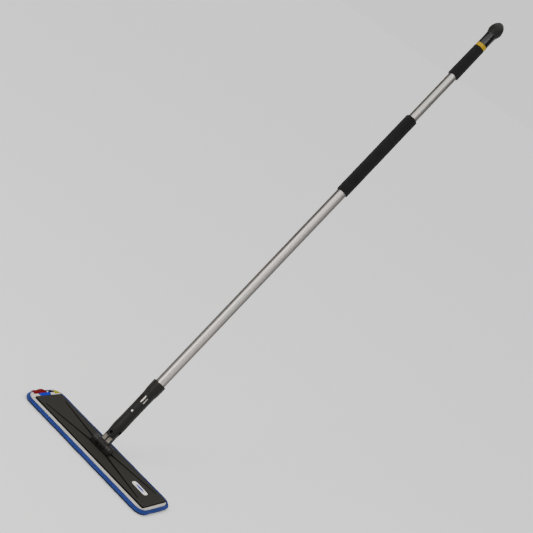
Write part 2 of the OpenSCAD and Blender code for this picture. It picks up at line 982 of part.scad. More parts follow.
module tab_blue() {
    color(tab_blue_rgb)
        bowed_tab(blue_y, blue_length, tab_root, -blue_reach, 1.2, 1);
}

module tab_green() {
    color(tab_green_rgb)
        bowed_tab(green_y, short_length, tab_root, 0.6 * tab_reach, 1.5, 0);
}

module tab_yellow() {
    color(tab_yellow_rgb)
        bowed_tab(yellow_y, short_length, tab_root - 5, 0.85 * tab_reach, 2, 1);
}

fork_end();
connector_body();
fork_screw();
fork_pin();
pin_clip();
lower_tube();
mid_grip();
guide_bush();
button_spring();
snap_button();
lock_sleeve();
lock_cone();
upper_tube();
top_grip();
colour_ring();
knob_stem();
knob_screw();
knob_washer();
knob_body();
knob_cap();
swivel_block();
hinge_pin();
base_plate();
hook_strip_front();
hook_strip_back();
badge();
badge_mark();
pad_backing();
pad_core();
pad_pile();
pad_seam();
tab_red();
tab_blue();
tab_green();
tab_yellow();
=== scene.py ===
"""Flat floor mop: looks, soft pad, stage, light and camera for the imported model."""

import json
import math

import bpy
from mathutils import Matrix, Vector, noise


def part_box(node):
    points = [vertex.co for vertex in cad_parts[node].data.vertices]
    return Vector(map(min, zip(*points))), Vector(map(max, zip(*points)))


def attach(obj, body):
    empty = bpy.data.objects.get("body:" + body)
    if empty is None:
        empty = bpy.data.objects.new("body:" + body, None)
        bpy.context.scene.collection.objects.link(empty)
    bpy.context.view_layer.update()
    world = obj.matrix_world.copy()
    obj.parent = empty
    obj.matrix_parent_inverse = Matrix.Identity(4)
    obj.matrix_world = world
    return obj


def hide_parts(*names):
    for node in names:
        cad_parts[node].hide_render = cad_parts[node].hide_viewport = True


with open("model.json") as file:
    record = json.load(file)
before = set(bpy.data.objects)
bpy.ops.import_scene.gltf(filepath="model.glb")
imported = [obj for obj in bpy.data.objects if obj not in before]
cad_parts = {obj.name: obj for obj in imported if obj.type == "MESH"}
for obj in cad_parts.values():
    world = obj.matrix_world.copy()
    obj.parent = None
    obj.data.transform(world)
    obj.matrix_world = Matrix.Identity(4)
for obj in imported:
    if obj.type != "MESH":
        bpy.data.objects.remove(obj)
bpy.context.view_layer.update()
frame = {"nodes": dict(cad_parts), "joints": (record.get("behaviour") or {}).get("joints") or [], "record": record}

MM = 0.001

# ---------------------------------------------------------------- frame measures

JOINTS = {joint["name"]: joint for joint in frame["joints"]}
PIVOT = Vector(JOINTS["fore_aft_tilt"]["pos_m"])
POLE_AXIS = Vector(JOINTS["telescope"]["axis"]).normalized()
POLE_TURN = Vector((0, 0, 1)).rotation_difference(POLE_AXIS).to_matrix().to_4x4()
ON_POLE = Matrix.Translation(PIVOT) @ POLE_TURN
OFF_POLE = ON_POLE.inverted()
LEAN = math.atan2(POLE_AXIS.y, POLE_AXIS.z)


def node_profile(name):
    """Lowest and highest place along the handle, and least and greatest radius, of a CAD node."""
    places = [OFF_POLE @ v.co for v in frame["nodes"][name].data.vertices]
    radii = [math.hypot(p.x, p.y) for p in places]
    loop_height_and_shade = [p.z for p in places]
    return min(loop_height_and_shade), max(loop_height_and_shade), min(radii), max(radii)


# ---------------------------------------------------------------- materials


def srgb(red, green, blue):
    """Linear colour from 0 to 255 screen values."""
    return tuple((c / 255 / 12.92) if c < 11 else ((c / 255 + 0.055) / 1.055) ** 2.4
                 for c in (red, green, blue))


class Look:
    """A Principled material and the few kinds of node that feed it."""

    def __init__(self, name, colour, roughness, metallic=0.0, **sockets):
        self.material = bpy.data.materials.new(name)
        self.material.use_nodes = True
        self.nodes = self.material.node_tree.nodes
        self.links = self.material.node_tree.links
        self.shader = self.nodes["Principled BSDF"]
        self.set(self.shader, Base_Color=(*colour, 1), Roughness=roughness, Metallic=metallic)
        self.set(self.shader, **sockets)
        self.coordinates = self.nodes.new("ShaderNodeTexCoord").outputs["Object"]

    @staticmethod
    def set(node, **sockets):
        for name, value in sockets.items():
            node.inputs[name.replace("_", " ")].default_value = value

    def add(self, kind, settings=None, **sockets):
        node = self.nodes.new(kind)
        for name, value in (settings or {}).items():
            setattr(node, name, value)
        self.set(node, **sockets)
        return node

    def place(self, scale, turn=(0, 0, 0)):
        """Object coordinates, turned and then scaled."""
        turned = self.add("ShaderNodeMapping", Rotation=turn)
        scaled = self.add("ShaderNodeMapping", Scale=scale)
        self.links.new(self.coordinates, turned.inputs["Vector"])
        self.links.new(turned.outputs["Vector"], scaled.inputs["Vector"])
        return scaled.outputs["Vector"]

    def noise(self, where, scale, detail=3.0, roughness=0.5):
        made = self.add("ShaderNodeTexNoise", Scale=scale, Detail=detail, Roughness=roughness)
        self.links.new(where, made.inputs["Vector"])
        return made.outputs["Fac"]

    def cells(self, where, scale, feature="F1"):
        made = self.add("ShaderNodeTexVoronoi", {"feature": feature}, Scale=scale)
        self.links.new(where, made.inputs["Vector"])
        return made.outputs["Distance"]

    def bands(self, where, scale, direction, distortion=0.0):
        made = self.add("ShaderNodeTexWave", {"bands_direction": direction},
                        Scale=scale, Distortion=distortion)
        self.links.new(where, made.inputs["Vector"])
        return made.outputs["Fac"]

    def attribute(self, name):
        return self.add("ShaderNodeAttribute", {"attribute_name": name}).outputs["Fac"]

    def math(self, operation, a, b):
        made = self.add("ShaderNodeMath", {"operation": operation})
        for socket, value in zip(made.inputs, (a, b)):
            if isinstance(value, (int, float)):
                socket.default_value = value
            else:
                self.links.new(value, socket)
        return made.outputs["Value"]

    def spread(self, factor, low, high, start=0.0, end=1.0):
        """A factor mapped from start..end onto low..high."""
        made = self.add("ShaderNodeMapRange", From_Min=start, From_Max=end, To_Min=low, To_Max=high)
        self.links.new(factor, made.inputs["Value"])
        return made.outputs["Result"]

    def blend(self, factor, stops):
        """A colour ramp over (position, colour) stops."""
        made = self.add("ShaderNodeValToRGB")
        ramp = made.color_ramp.elements
        while len(ramp) < len(stops):
            ramp.new(0.5)
        for element, (position, colour) in zip(ramp, stops):
            element.position = position
            element.color = (*colour, 1)
        self.links.new(factor, made.inputs["Fac"])
        return made.outputs["Color"]

    def shaded(self, source, factor):
        """A colour multiplied by a factor."""
        made = self.add("ShaderNodeMix", {"data_type": "RGBA", "blend_type": "MULTIPLY"})
        made.inputs["Factor"].default_value = 1.0
        colours = [socket for socket in made.inputs if socket.type == "RGBA"]
        self.links.new(source, colours[0])
        self.links.new(factor, colours[1])
        return [socket for socket in made.outputs if socket.type == "RGBA"][0]

    def painted_rim_shade(self, source, start, end, low):
        """Painted shade: a colour that falls off towards the rim, where the surface turns away."""
        facing = self.add("ShaderNodeLayerWeight", Blend=0.5).outputs["Facing"]
        return self.shaded(source, self.spread(facing, 1.0, low, start, end))

    def colour(self, source):
        self.links.new(source, self.shader.inputs["Base Color"])

    def rough(self, source):
        self.links.new(source, self.shader.inputs["Roughness"])

    def bump(self, height, distance, strength=1.0):
        """Adds a bump on top of any bump that is already there. Distance is in metres."""
        made = self.add("ShaderNodeBump", Strength=strength, Distance=distance)
        self.links.new(height, made.inputs["Height"])
        normal = self.shader.inputs["Normal"]
        if normal.is_linked:
            self.links.new(normal.links[0].from_socket, made.inputs["Normal"])
        self.links.new(made.outputs["Normal"], normal)


def scaled(colour, factor):
    return tuple(min(1.0, c * factor) for c in colour)


# One of the plate's four mirrored creases, along which shade is painted, and the gap between hub and cross crease
CREASE_FROM = Vector((33, 11)) * MM
CREASE_TO = Vector((172, 37)) * MM
CREASE_FADE = ((26 * MM, 32 * MM), (169 * MM, 174 * MM))
CROSS_CREASE = 11.5 * MM
CROSS_REACH = 2.6 * MM
PLATE_TOP = 19.2 * MM
LUG_FOOT = 20 * MM


def crease_painted_shade(look):
    """A factor that paints shade on the plate along the four creases that run out from its hub."""
    split = look.add("ShaderNodeSeparateXYZ")
    look.links.new(look.coordinates, split.inputs["Vector"])
    x, y = (look.math("ABSOLUTE", split.outputs[axis], 0.0) for axis in ("X", "Y"))
    line = look.add("ShaderNodeMapRange", {"clamp": False},
                    From_Min=CREASE_FROM.x, From_Max=CREASE_TO.x,
                    To_Min=CREASE_FROM.y, To_Max=CREASE_TO.y)
    look.links.new(x, line.inputs["Value"])
    off = look.math("ABSOLUTE", look.math("SUBTRACT", y, line.outputs["Result"]), 0.0)
    half = look.spread(x, 4.2 * MM, 2.0 * MM, CREASE_FROM.x, CREASE_TO.x)
    start, end = CREASE_FADE
    along = look.math("MULTIPLY", look.spread(x, 0, 1, *start), look.spread(x, 1, 0, *end))
    dark = look.math("MULTIPLY", along, look.spread(look.math("DIVIDE", off, half), 1, 0, 0.5, 1.25))
    return look.spread(dark, 1.0, 0.05)


def moulded_plastic(name, colour, roughness, grain, dust, shine=0.25, creased=False):
    """Injection-moulded plastic with a spark-eroded grain, faint flow marks, scuffs and dust; when creased, shade
    is painted along the creases.
    """
    look = Look(name, colour, roughness, Specular_IOR_Level=shine)
    plain = look.place((1, 1, 1))
    clouds = look.noise(plain, 22, detail=5)
    specks = look.noise(plain, 900, detail=2)
    cloudy, speckled = look.spread(clouds, 0, 1, 0.4, 0.75), look.spread(specks, 0, 1, 0.5, 0.72)
    dusty = look.math("MULTIPLY", cloudy, speckled)
    tone = look.blend(dusty, [(0.0, colour), (1.0, scaled(colour, 1 + dust))])
    # When creased, painted shade darkens the colour along the plate's creases
    look.colour(look.shaded(tone, crease_painted_shade(look)) if creased else tone)
    scuffs = look.noise(look.place((30, 420, 30), (0, 0, 0.35)), 1.0, detail=4)
    wear = look.math("ADD", clouds, scuffs)
    look.rough(look.spread(wear, roughness - 0.1, roughness + 0.14, 0.6, 1.4))
    look.bump(look.noise(plain, 2300, detail=2), grain, 0.5)
    look.bump(look.noise(plain, 60, detail=2), 4 * grain, 0.12)
    return look.material


def drawn_alloy(name, colour):
    """Anodised tube with fine drawn lines along its length, and painted shade towards its rims."""
    look = Look(name, colour, 0.4, metallic=1.0)
    turn = (LEAN, 0, 0)
    lines = look.noise(look.place((1500, 1500, 4), turn), 1.0, detail=3, roughness=0.7)
    streaks = look.noise(look.place((260, 260, 2), turn), 1.0, detail=4)
    handled = look.noise(look.place((14, 14, 6), turn), 1.0, detail=5)
    worn = look.blend(streaks, [(0.3, scaled(colour, 0.88)), (0.7, scaled(colour, 1.06))])
    # Painted shade darkens the tube towards its rims
    look.colour(look.painted_rim_shade(worn, 0.02, 0.36, 0.22))
    look.rough(look.spread(look.math("ADD", lines, handled), 0.34, 0.5, 0.6, 1.4))
    look.bump(lines, 0.00006, 0.35)
    return look.material


def bright_steel(name, colour, roughness):
    """Plated steel with fine turning marks."""
    look = Look(name, colour, roughness, metallic=1.0)
    plain = look.place((1, 1, 1))
    turned = look.noise(plain, 500, detail=4)
    look.rough(look.spread(turned, roughness - 0.08, roughness + 0.12, 0.3, 0.7))
    look.colour(look.blend(look.noise(plain, 90), [(0.3, scaled(colour, 0.8)), (0.7, colour)]))
    look.bump(look.noise(plain, 2600), 0.00003, 0.4)
    return look.material


def closed_foam(name, colour):
    """Dense foam: a matt skin with tiny open cells, painted darker as shade in the pores, and rubbed patches."""
    look = Look(name, colour, 0.86, Sheen_Weight=0.04, Sheen_Roughness=0.5, Specular_IOR_Level=0.2)
    plain = look.place((1, 1, 1))
    pores = look.cells(plain, 1250)
    fine = look.noise(plain, 3400, detail=3)
    rubbed = look.noise(plain, 38, detail=4)
    pits = look.spread(pores, 0, 1, 0.05, 0.45)
    tone = look.math("ADD", look.math("MULTIPLY", pits, 0.6), look.math("MULTIPLY", rubbed, 0.5))
    # Painted shade: the pits darken the colour
    look.colour(look.blend(tone, [(0.15, scaled(colour, 0.55)), (0.8, scaled(colour, 1.5))]))
    look.rough(look.spread(rubbed, 0.78, 0.95, 0.3, 0.7))
    look.bump(pits, 0.00022, 0.8)
    look.bump(fine, 0.00008, 0.6)
    return look.material


def microfibre(name, deep, middle, tip):
    """Blue pile: painted shade deep between the loops, painted highlight at the tips, and random fibre tone. The
    mesh carries the loops' height, with painted shade and highlight round the roll.
    """
    look = Look(name, middle, 0.88, Sheen_Weight=0.25, Sheen_Roughness=0.4)
    look.set(look.shader, Sheen_Tint=(*tip, 1))
    plain = look.place((1, 1, 1))
    strands = look.noise(look.place((1, 1, 0.6)), 2100, detail=4, roughness=0.7)
    patches = look.noise(plain, 45, detail=3)
    height = look.attribute("pile")
    tone = look.math("ADD", look.math("MULTIPLY", height, 0.7), look.math("MULTIPLY", strands, 0.35))
    tone = look.math("ADD", tone, look.math("MULTIPLY", patches, 0.2))
    dye_and_painted_shade = look.blend(tone, [(0.22, deep), (0.62, middle), (1.0, tip)])
    # Painted shadow along the roll's foot, and a darker sole, carried by the mesh
    look.colour(look.shaded(dye_and_painted_shade, look.attribute("soil_and_shade")))
    look.bump(strands, 0.0006, 0.9)
    return look.material


def woven_cloth(name, colour, pitch, depth, sheen=0.1, soil_and_weave_shade=0.12, shine=0.3):
    """Plain weave: crossed bands of yarn with slubs and uneven dye, and painted shade between the yarns."""
    look = Look(name, colour, 0.82, Sheen_Weight=sheen, Sheen_Roughness=0.5, Specular_IOR_Level=shine)
    plain = look.place((1, 1, 1))
    scale = 2 * math.pi / (20 * pitch)
    warp = look.bands(plain, scale, "X", 0.6)
    weft = look.bands(plain, scale, "Y", 0.6)
    yarns = look.math("MAXIMUM", warp, weft)
    slubs = look.noise(plain, 700, detail=3)
    patches = look.noise(plain, 55, detail=4)
    tone = look.math("ADD", look.math("MULTIPLY", yarns, 0.5), look.math("MULTIPLY", slubs, 0.35))
    tone = look.math("ADD", tone, look.math("MULTIPLY", patches, 0.3))
    # The yarns' relief also sets the colour, as painted shade between them on top of soil
    soiled_and_shaded, bright = scaled(colour, 1 - 2.4 * soil_and_weave_shade), scaled(colour, 1 + soil_and_weave_shade)
    look.colour(look.blend(tone, [(0.3, soiled_and_shaded), (0.95, bright)]))
    look.bump(yarns, depth, 0.8)
    look.bump(slubs, depth * 0.6, 0.6)
    return look.material


def hook_tape(name, colour):
    """Rows of stiff hooks on a flat tape."""
    look = Look(name, colour, 0.7)
    plain = look.place((1, 1, 1))
    hooks = look.cells(plain, 620)
    look.colour(look.blend(hooks, [(0.0, scaled(colour, 2.2)), (0.6, colour)]))
    look.bump(hooks, 0.0007, 0.9)
    return look.material


def printed_plate(name, colour, roughness):
    """Smooth label stock with faint orange peel and handling marks."""
    look = Look(name, colour, roughness, Coat_Weight=0.3, Coat_Roughness=0.15)
    plain = look.place((1, 1, 1))
    marks = look.noise(plain, 160, detail=5)
    look.colour(look.blend(marks, [(0.35, scaled(colour, 0.93)), (0.7, colour)]))
    look.rough(look.spread(marks, roughness - 0.06, roughness + 0.12, 0.3, 0.7))
    look.bump(look.noise(plain, 900), 0.00005, 0.3)
    return look.material


RIBBON = {"pitch": 0.0009, "depth": 0.00016, "sheen": 0.02, "soil_and_weave_shade": 0.2, "shine": 0.1}
LOOKS = {
    "black_plastic": moulded_plastic("moulded_black", srgb(20, 19, 18), 0.5, 0.00007, 0.5),
    "plate_plastic": moulded_plastic("plate_black", srgb(44, 43, 40), 0.6, 0.00007, 0.5, 0.06,
                                     creased=True),
    "rubbed_plastic": moulded_plastic("rubbed_black", srgb(20, 19, 18), 0.36, 0.00004, 0.8, shine=0.32),
    # Near-black plastic: painted shade for the plate's edge faces and hub grooves
    "painted_shade_plastic": moulded_plastic("painted_shade_black", srgb(7, 7, 6), 0.9, 0.00007, 0.4, shine=0.05),
    "gloss_black": moulded_plastic("gloss_black", srgb(15, 15, 15), 0.2, 0.00002, 0.3, shine=0.5),
    "knob_plastic": moulded_plastic("soft_touch_black", srgb(14, 13, 12), 0.5, 0.00005, 0.3),
    "black_steel": bright_steel("blacked_steel", srgb(16, 16, 16), 0.5),
    "foam": closed_foam("grip_foam", srgb(12, 11, 12)),
    "alloy": drawn_alloy("drawn_alloy", srgb(208, 202, 196)),
    "steel": bright_steel("plated_steel", srgb(214, 214, 216), 0.25),
    "bush_plastic": moulded_plastic("bush_grey", srgb(120, 120, 124), 0.5, 0.00004, 0.2),
    "yellow_plastic": moulded_plastic("signal_yellow", srgb(162, 132, 0), 0.4, 0.00003, 0.12, shine=0.2),
    # Pale grey: painted light on the blade's two front panels
    "blade_plastic": moulded_plastic("lit_blade_panel", srgb(112, 106, 98), 0.44, 0.00006, 0.4),
    "badge_white": printed_plate("badge_stock", srgb(236, 236, 232), 0.3),
    "badge_blue": printed_plate("badge_print", srgb(0, 18, 160), 0.35),
    "backing": woven_cloth("backing_weave", srgb(204, 199, 188), 0.0014, 0.00022),
    "pile": microfibre("blue_microfibre", srgb(4, 12, 52), srgb(18, 52, 140), srgb(52, 104, 200)),
    "thread": woven_cloth("seam_thread", srgb(222, 219, 210), 0.0006, 0.0001),
    "blue_thread": woven_cloth("edge_thread", srgb(26, 46, 122), 0.0006, 0.0001),
    "filling": woven_cloth("fibre_fill", srgb(225, 225, 220), 0.003, 0.0004),
    "hook_tape": hook_tape("hook_tape", srgb(24, 24, 25)),
    "tab_red": woven_cloth("red_ribbon", srgb(104, 0, 2), **RIBBON),
    "tab_blue": woven_cloth("blue_ribbon", srgb(10, 34, 168), **RIBBON),
    "tab_green": woven_cloth("green_ribbon", srgb(8, 12, 9), **RIBBON),
    "tab_yellow": woven_cloth("yellow_ribbon", srgb(156, 152, 4), **RIBBON),
}

# ---------------------------------------------------------------- mesh helpers


def new_piece(name, points, faces, look, body):
    """A smooth mesh object with a look, riding on a CAD body."""
    mesh = bpy.data.meshes.new(name)
    mesh.from_pydata([tuple(p) for p in points], [], faces)
    mesh.update()
    mesh.materials.append(LOOKS[look])
    mesh.shade_smooth()
    piece = bpy.data.objects.new(name, mesh)
    bpy.context.scene.collection.objects.link(piece)
    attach(piece, body)
    return piece


def ring_faces(rings, around, closed_rings=False):
    """Quads between rings of points that lie one after another, each ring a closed loop."""
    faces = []
    last = rings if closed_rings else rings - 1
    for ring in range(last):
        for step in range(around):
            here, there = ring * around, (ring + 1) % rings * around
            after = (step + 1) % around
            faces.append((here + step, here + after, there + after, there + step))
    return faces


def lathe(name, outline, look, body, around, relief):
    """Turns a closed outline of (radius, height) points round the handle's axis.
    relief(angle, radius, height) moves a point outwards."""
    points = []
    for radius, height in outline:
        for step in range(around):
            angle = 2 * math.pi * step / around
            r = radius + relief(angle, radius, height)
            points.append(ON_POLE @ Vector((r * math.cos(angle), r * math.sin(angle), height)))
    return new_piece(name, points, ring_faces(len(outline), around, closed_rings=True), look, body)


def rounded_outline(half_x, half_y, corner, per_arc, along_x, along_y):
    """Evenly shared points round a rectangle with round corners, as (point, outward) pairs.
    Outlines made with the same counts match point for point."""
    corners = ((1, 1, 0), (-1, 1, 90), (-1, -1, 180), (1, -1, 270))
    places = []
    for index, (side_x, side_y, start) in enumerate(corners):
        centre = Vector((side_x * (half_x - corner), side_y * (half_y - corner), 0))
        for step in range(per_arc + 1):
            angle = math.radians(start + 90 * step / per_arc)
            outward = Vector((math.cos(angle), math.sin(angle), 0))
            places.append((centre + corner * outward, outward))
        next_x, next_y, turn = corners[(index + 1) % 4]
        following = Vector((next_x * (half_x - corner), next_y * (half_y - corner), 0))
        outward = places[-1][1]
        begin, end = places[-1][0], following + corner * outward
        count = along_x if index % 2 == 0 else along_y
        for step in range(1, count):
            places.append((begin.lerp(end, step / count), outward))
    return places


def stroke(path, radius, sides):
    """Points and faces of a thread: a thin tube along a level path, with closed ends."""
    points, faces = [], []
    for index, place in enumerate(path):
        ahead = path[min(index + 1, len(path) - 1)] - path[max(index - 1, 0)]
        ahead.normalize()
        side = ahead.cross(Vector((0, 0, 1)))
        side.normalize()
        above = side.cross(ahead)
        for step in range(sides):
            angle = 2 * math.pi * step / sides
            points.append(place + radius * (math.cos(angle) * side + math.sin(angle) * above))
    faces = ring_faces(len(path), sides)
    faces.append(tuple(range(sides))[::-1])
    faces.append(tuple(range(len(points) - sides, len(points))))
    return points, faces


def joined(strokes):
    """One list of points and faces from several."""
    points, faces = [], []
    for some_points, some_faces in strokes:
        first = len(points)
        points += some_points
        faces += [tuple(first + corner for corner in face) for face in some_faces]
    return points, faces


def write_attribute(piece, name, values):
    made = piece.data.attributes.new(name, "FLOAT", "POINT")
    made.data.foreach_set("value", values)


# ---------------------------------------------------------------- hard pieces


NODE_LOOKS = {
    "base_plate": "plate_plastic",
    "knob_body": "knob_plastic", "knob_cap": "knob_plastic",
    "fork_pin": "black_steel", "pin_clip": "black_steel",
}


def dress_nodes():
    """Every CAD node gets the look of its material slot, or one of its own from NODE_LOOKS."""
    slots = {row["node"]: row["material_slot"] for row in frame["record"]["subparts"]}
    for name, node in frame["nodes"].items():
        look = LOOKS[NODE_LOOKS.get(name, slots[name])]
        node.data.materials.clear()
        node.data.materials.append(look)


def mark_blade_panels():
    """The two flat panels in the front of the swivel block's blade are painted paler, as painted light on faces
    that catch it.
    """
    block = frame["nodes"]["swivel_block"]
    block.data.materials.append(LOOKS["blade_plastic"])
    places = [OFF_POLE @ v.co for v in block.data.vertices]
    front = min(p.y for p in places if p.z > 12 * MM)
    for face in block.data.polygons:
        corners = [places[index] for index in face.vertices]
        depth = [corner.y - front for corner in corners]
        if min(depth) > 0.3 * MM and max(depth) < 0.9 * MM:
            face.material_index = 1


def mark_plate_edge():
    """Painted shade on the plate's edge faces and in the grooves beside the hub; the lugs are rubbed shiny."""
    plate = frame["nodes"]["base_plate"]
    plate.data.materials.append(LOOKS["painted_shade_plastic"])
    plate.data.materials.append(LOOKS["rubbed_plastic"])
    far_x, far_y = (max(v.co[axis] for v in plate.data.vertices) for axis in (0, 1))
    for face in plate.data.polygons:
        x, y = abs(face.center.x), abs(face.center.y)
        on_edge = x > far_x - 1.2 * MM or y > far_y - 1.2 * MM
        beside_hub = x < CREASE_FROM.x and abs(y - CROSS_CREASE) < CROSS_REACH
        in_groove = beside_hub and face.normal.z > 0.05 and face.center.z < PLATE_TOP
        # Edge faces and the grooves beside the hub take the painted shade
        if face.normal.z < 0.95 and (on_edge or in_groove):
            face.material_index = 1
        if face.center.z > LUG_FOOT:
            face.material_index = 2


dress_nodes()
mark_blade_panels()
mark_plate_edge()

# ---------------------------------------------------------------- foam grips


def foam_outline(low, high, bore, outer_low, outer_high, round_low, round_high):
    """Closed outline of a foam sleeve: bore, rounded lower end, side and rounded upper end."""
    outline = [(bore, high - 0.4 * MM), (bore, (low + high) / 2), (bore, low + 0.4 * MM)]
    steps = 7
    for step in range(steps + 1):
        angle = math.pi / 2 * step / steps
        outline.append((outer_low - round_low * 0.7 * (1 - math.sin(angle)),
                        low + round_low * (1 - math.cos(angle))))
    rows = int((high - low) / (3 * MM))
    for row in range(1, rows):
        share = row / rows
        outline.append((outer_low + (outer_high - outer_low) * share,
                        low + round_low + (high - low - round_low - round_high) * share))
    for step in range(steps + 1):
        angle = math.pi / 2 * step / steps
        outline.append((outer_high - round_high * 0.7 * (1 - math.cos(angle)),
                        high - round_high * (1 - math.sin(angle))))
    return outline


def make_grip(name, node, body, outer_low, outer_high, round_high, seed):
    """A foam sleeve with the slight lumps and pinches that foam has on a tube."""
    low, high, bore, outer = node_profile(node)
    outline = foam_outline(low, high, bore + 0.1 * MM, outer * outer_low, outer * outer_high,
                           2.2 * MM, round_high)

    def relief(angle, radius, height):
        if radius < bore + 0.6 * MM:
            return 0.0
        place = Vector((math.cos(angle), math.sin(angle), height * 22 + seed))
        lumps = 0.22 * MM * noise.noise(place * 1.3)
        dents = -0.35 * MM * max(0.0, noise.noise(place * 2.6 + Vector((seed, 0, 0))) - 0.25)
        return lumps + dents - 0.1 * MM

    grip = lathe(name, outline, "foam", body, around=96, relief=relief)
    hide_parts(node)


make_grip("mid_grip_foam", "mid_grip", "pole", 1.0, 0.995, 4.5 * MM, 3.1)
make_grip("top_grip_foam", "top_grip", "upper_pole", 1.0, 0.965, 1.0 * MM, 8.7)

# ---------------------------------------------------------------- mop pad

PILE_LOW, PILE_HIGH = [Vector(corner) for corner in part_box("pad_pile")]
BACK_LOW, BACK_HIGH = [Vector(corner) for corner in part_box("pad_backing")]
PILE_MIDDLE = Vector(((PILE_LOW.x + PILE_HIGH.x) / 2, (PILE_LOW.y + PILE_HIGH.y) / 2, 0))
BACK_MIDDLE = Vector(((BACK_LOW.x + BACK_HIGH.x) / 2, (BACK_LOW.y + BACK_HIGH.y) / 2, 0))
PILE_HALF = (PILE_HIGH - PILE_LOW) / 2
BACK_HALF = (BACK_HIGH - BACK_LOW) / 2
PAD_TOP = PILE_HIGH.z
OUTER_CORNER = 30 * MM
ROLL = PILE_HALF.x - BACK_HALF.x
INNER_CORNER = OUTER_CORNER - ROLL
ARC_STEPS = 44
LONG_STEPS = 330
SHORT_STEPS = 76
LOOP_PITCH = 2.6 * MM
SOLE_PITCH = 3.4 * MM
ARC_PER_RADIAN = 8 * MM
TUCK_STEPS = 3
TUCK_IN = 0.9 * MM
TUCK_DOWN = 0.35 * MM
# Painted shadow darkens the foot of the blue roll; the looped sole is a little darker all over
FOOT_SHADE_TO = 4.8 * MM
FOOT_SHADE_FADE = 2.2 * MM
FOOT_SHADE_DARKEST = 0.06
SOLE_CLEAN = 0.7


def pad_ring(half_x, half_y, corner, middle=BACK_MIDDLE):
    """Outline round the backing's middle, or the pile's: neither is quite the plate's."""
    ring = rounded_outline(half_x, half_y, corner, ARC_STEPS, LONG_STEPS, SHORT_STEPS)
    return [(place + middle, outward) for place, outward in ring]


def running_length(ring):
    """Distance round the ring at each of its points."""
    total, lengths = 0.0, []
    for index, (place, _) in enumerate(ring):
        if index:
            total += (place - ring[index - 1][0]).length
        lengths.append(total)
    return lengths


def tuft(across, along, pitch, jitter):
    """Height from 0 to 1 of staggered rows of loops, at a place in two directions."""
    row = math.floor(along / pitch)
    shifted = across / pitch + 0.5 * (row % 2) + 0.35 * jitter
    bump = abs(math.cos(math.pi * shifted)) * abs(math.sin(math.pi * along / pitch))
    return bump ** 0.7


def make_pad_pile():
    """The blue microfibre: a full roll round the edge that turns under into a looped sole."""
    outer = pad_ring(PILE_HALF.x, PILE_HALF.y, OUTER_CORNER, PILE_MIDDLE)
    inner = pad_ring(BACK_HALF.x, BACK_HALF.y, INNER_CORNER)
    lengths = running_length(outer)
    middle = PAD_TOP / 2
    roll_steps = 20
    points, loop_height_and_shade, soil_and_shade = [], [], []

    def loops(place, across, along, pitch):
        jitter = noise.noise(place * 320)
        return tuft(across, along, pitch, jitter) * (0.75 + 0.5 * noise.noise(place * 700))

    for step in range(-TUCK_STEPS, roll_steps + 1):
        angle = math.pi * max(step, 0) / roll_steps
        tucked = max(0, -step)
        for index, ((far, outward), (near, _)) in enumerate(zip(outer, inner)):
            reach = (far - near) * (1 - 0.8 * MM / (far - near).length)
            flat = near + reach * math.sin(angle) ** 0.85
            place = Vector((flat.x, flat.y, middle + (middle - 0.5 * MM) * math.cos(angle)))
            place -= outward * TUCK_IN * tucked
            place.z -= TUCK_DOWN * tucked
            swell = 0.7 * noise.noise(Vector((far.x, far.y, 0)) * 26) - 0.1
            plies = 0.5 - 0.5 * math.cos(6 * angle)
            pile = loops(place, lengths[index], angle * ARC_PER_RADIAN, LOOP_PITCH)
            pile *= 0.45 + 0.55 * plies
            lift = (0.9 * pile + 0.5 * plies - 0.6 + swell) * MM * min(1.0, math.sin(angle) * 2.2 + 0.12)
            normal = outward * math.sin(angle) + Vector((0, 0, math.cos(angle)))
            place = place + normal * lift
            place.z = min(max(place.z, 0.05 * MM), PAD_TOP + 0.3 * MM)
            points.append(place)
            # Colour height of the loops, lowered at the roll's top and bottom: painted shade there, painted
            # highlight along the roll's middle
            loop_height_and_shade.append(pile * (0.4 + 0.6 * math.sin(angle)))
            # Painted shadow along the roll's foot
            soil_and_shade.append(min(1.0, max(FOOT_SHADE_DARKEST, (place.z - FOOT_SHADE_TO) / FOOT_SHADE_FADE)))
    around = len(outer)
    sole_steps = 36
    for step in range(1, sole_steps + 1):
        inset = (BACK_HALF.y - 1.5 * MM) * step / sole_steps
        corner = max(INNER_CORNER - inset, 0.5 * MM)
        for place, _ in pad_ring(BACK_HALF.x - inset, BACK_HALF.y - inset, corner):
            pile = loops(place, place.x, place.y, SOLE_PITCH)
            points.append(Vector((place.x, place.y, (0.9 - 0.85 * pile) * MM)))
            loop_height_and_shade.append(pile)
            soil_and_shade.append(SOLE_CLEAN)
    faces = ring_faces(len(points) // around, around)
    last = len(points) - around
    faces.append(tuple(range(last, last + around)))
    faces.append(tuple(range(around - 1, -1, -1)))
    pad = new_piece("pad_microfibre", points, [face[::-1] for face in faces], "pile", "head")
    write_attribute(pad, "pile", loop_height_and_shade)
    write_attribute(pad, "soil_and_shade", soil_and_shade)
    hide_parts("pad_pile", "pad_core")


